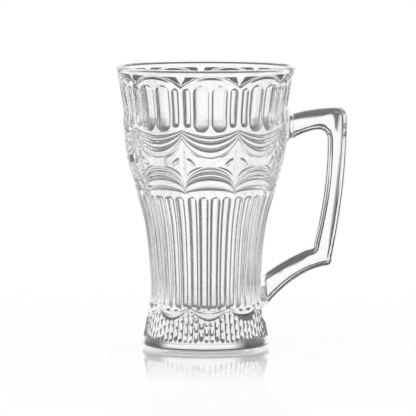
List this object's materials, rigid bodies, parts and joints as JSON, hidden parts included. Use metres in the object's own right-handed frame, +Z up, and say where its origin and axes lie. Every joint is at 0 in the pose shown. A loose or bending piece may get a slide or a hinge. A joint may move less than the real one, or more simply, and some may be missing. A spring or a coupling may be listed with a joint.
{
  "type": "glass tea mug",
  "caption": "Clear pressed-glass tea mug: waisted body moulded with arches, swags and flutes, thick ribbed foot, rolled lip, and a flat-sided handle fused on through beads of glass.",
  "frame": {"origin": "middle of the flat underside of the foot, on the axis of the body", "axes": "+Z up along the axis of the body, +X towards the handle, +Y across the handle"},
  "size_m": [0.1029, 0.0798, 0.125],
  "materials": {
    "clear_glass": "fire-polished clear soda-lime glass, pressed in a mould, colourless with a very faint grey-green cast in thick places"
  },
  "bodies": {
    "root": {"mug_body": "clear_glass", "handle": "clear_glass", "upper_handle_bead": "clear_glass", "lower_handle_bead": "clear_glass"}
  },
  "joints": []
}
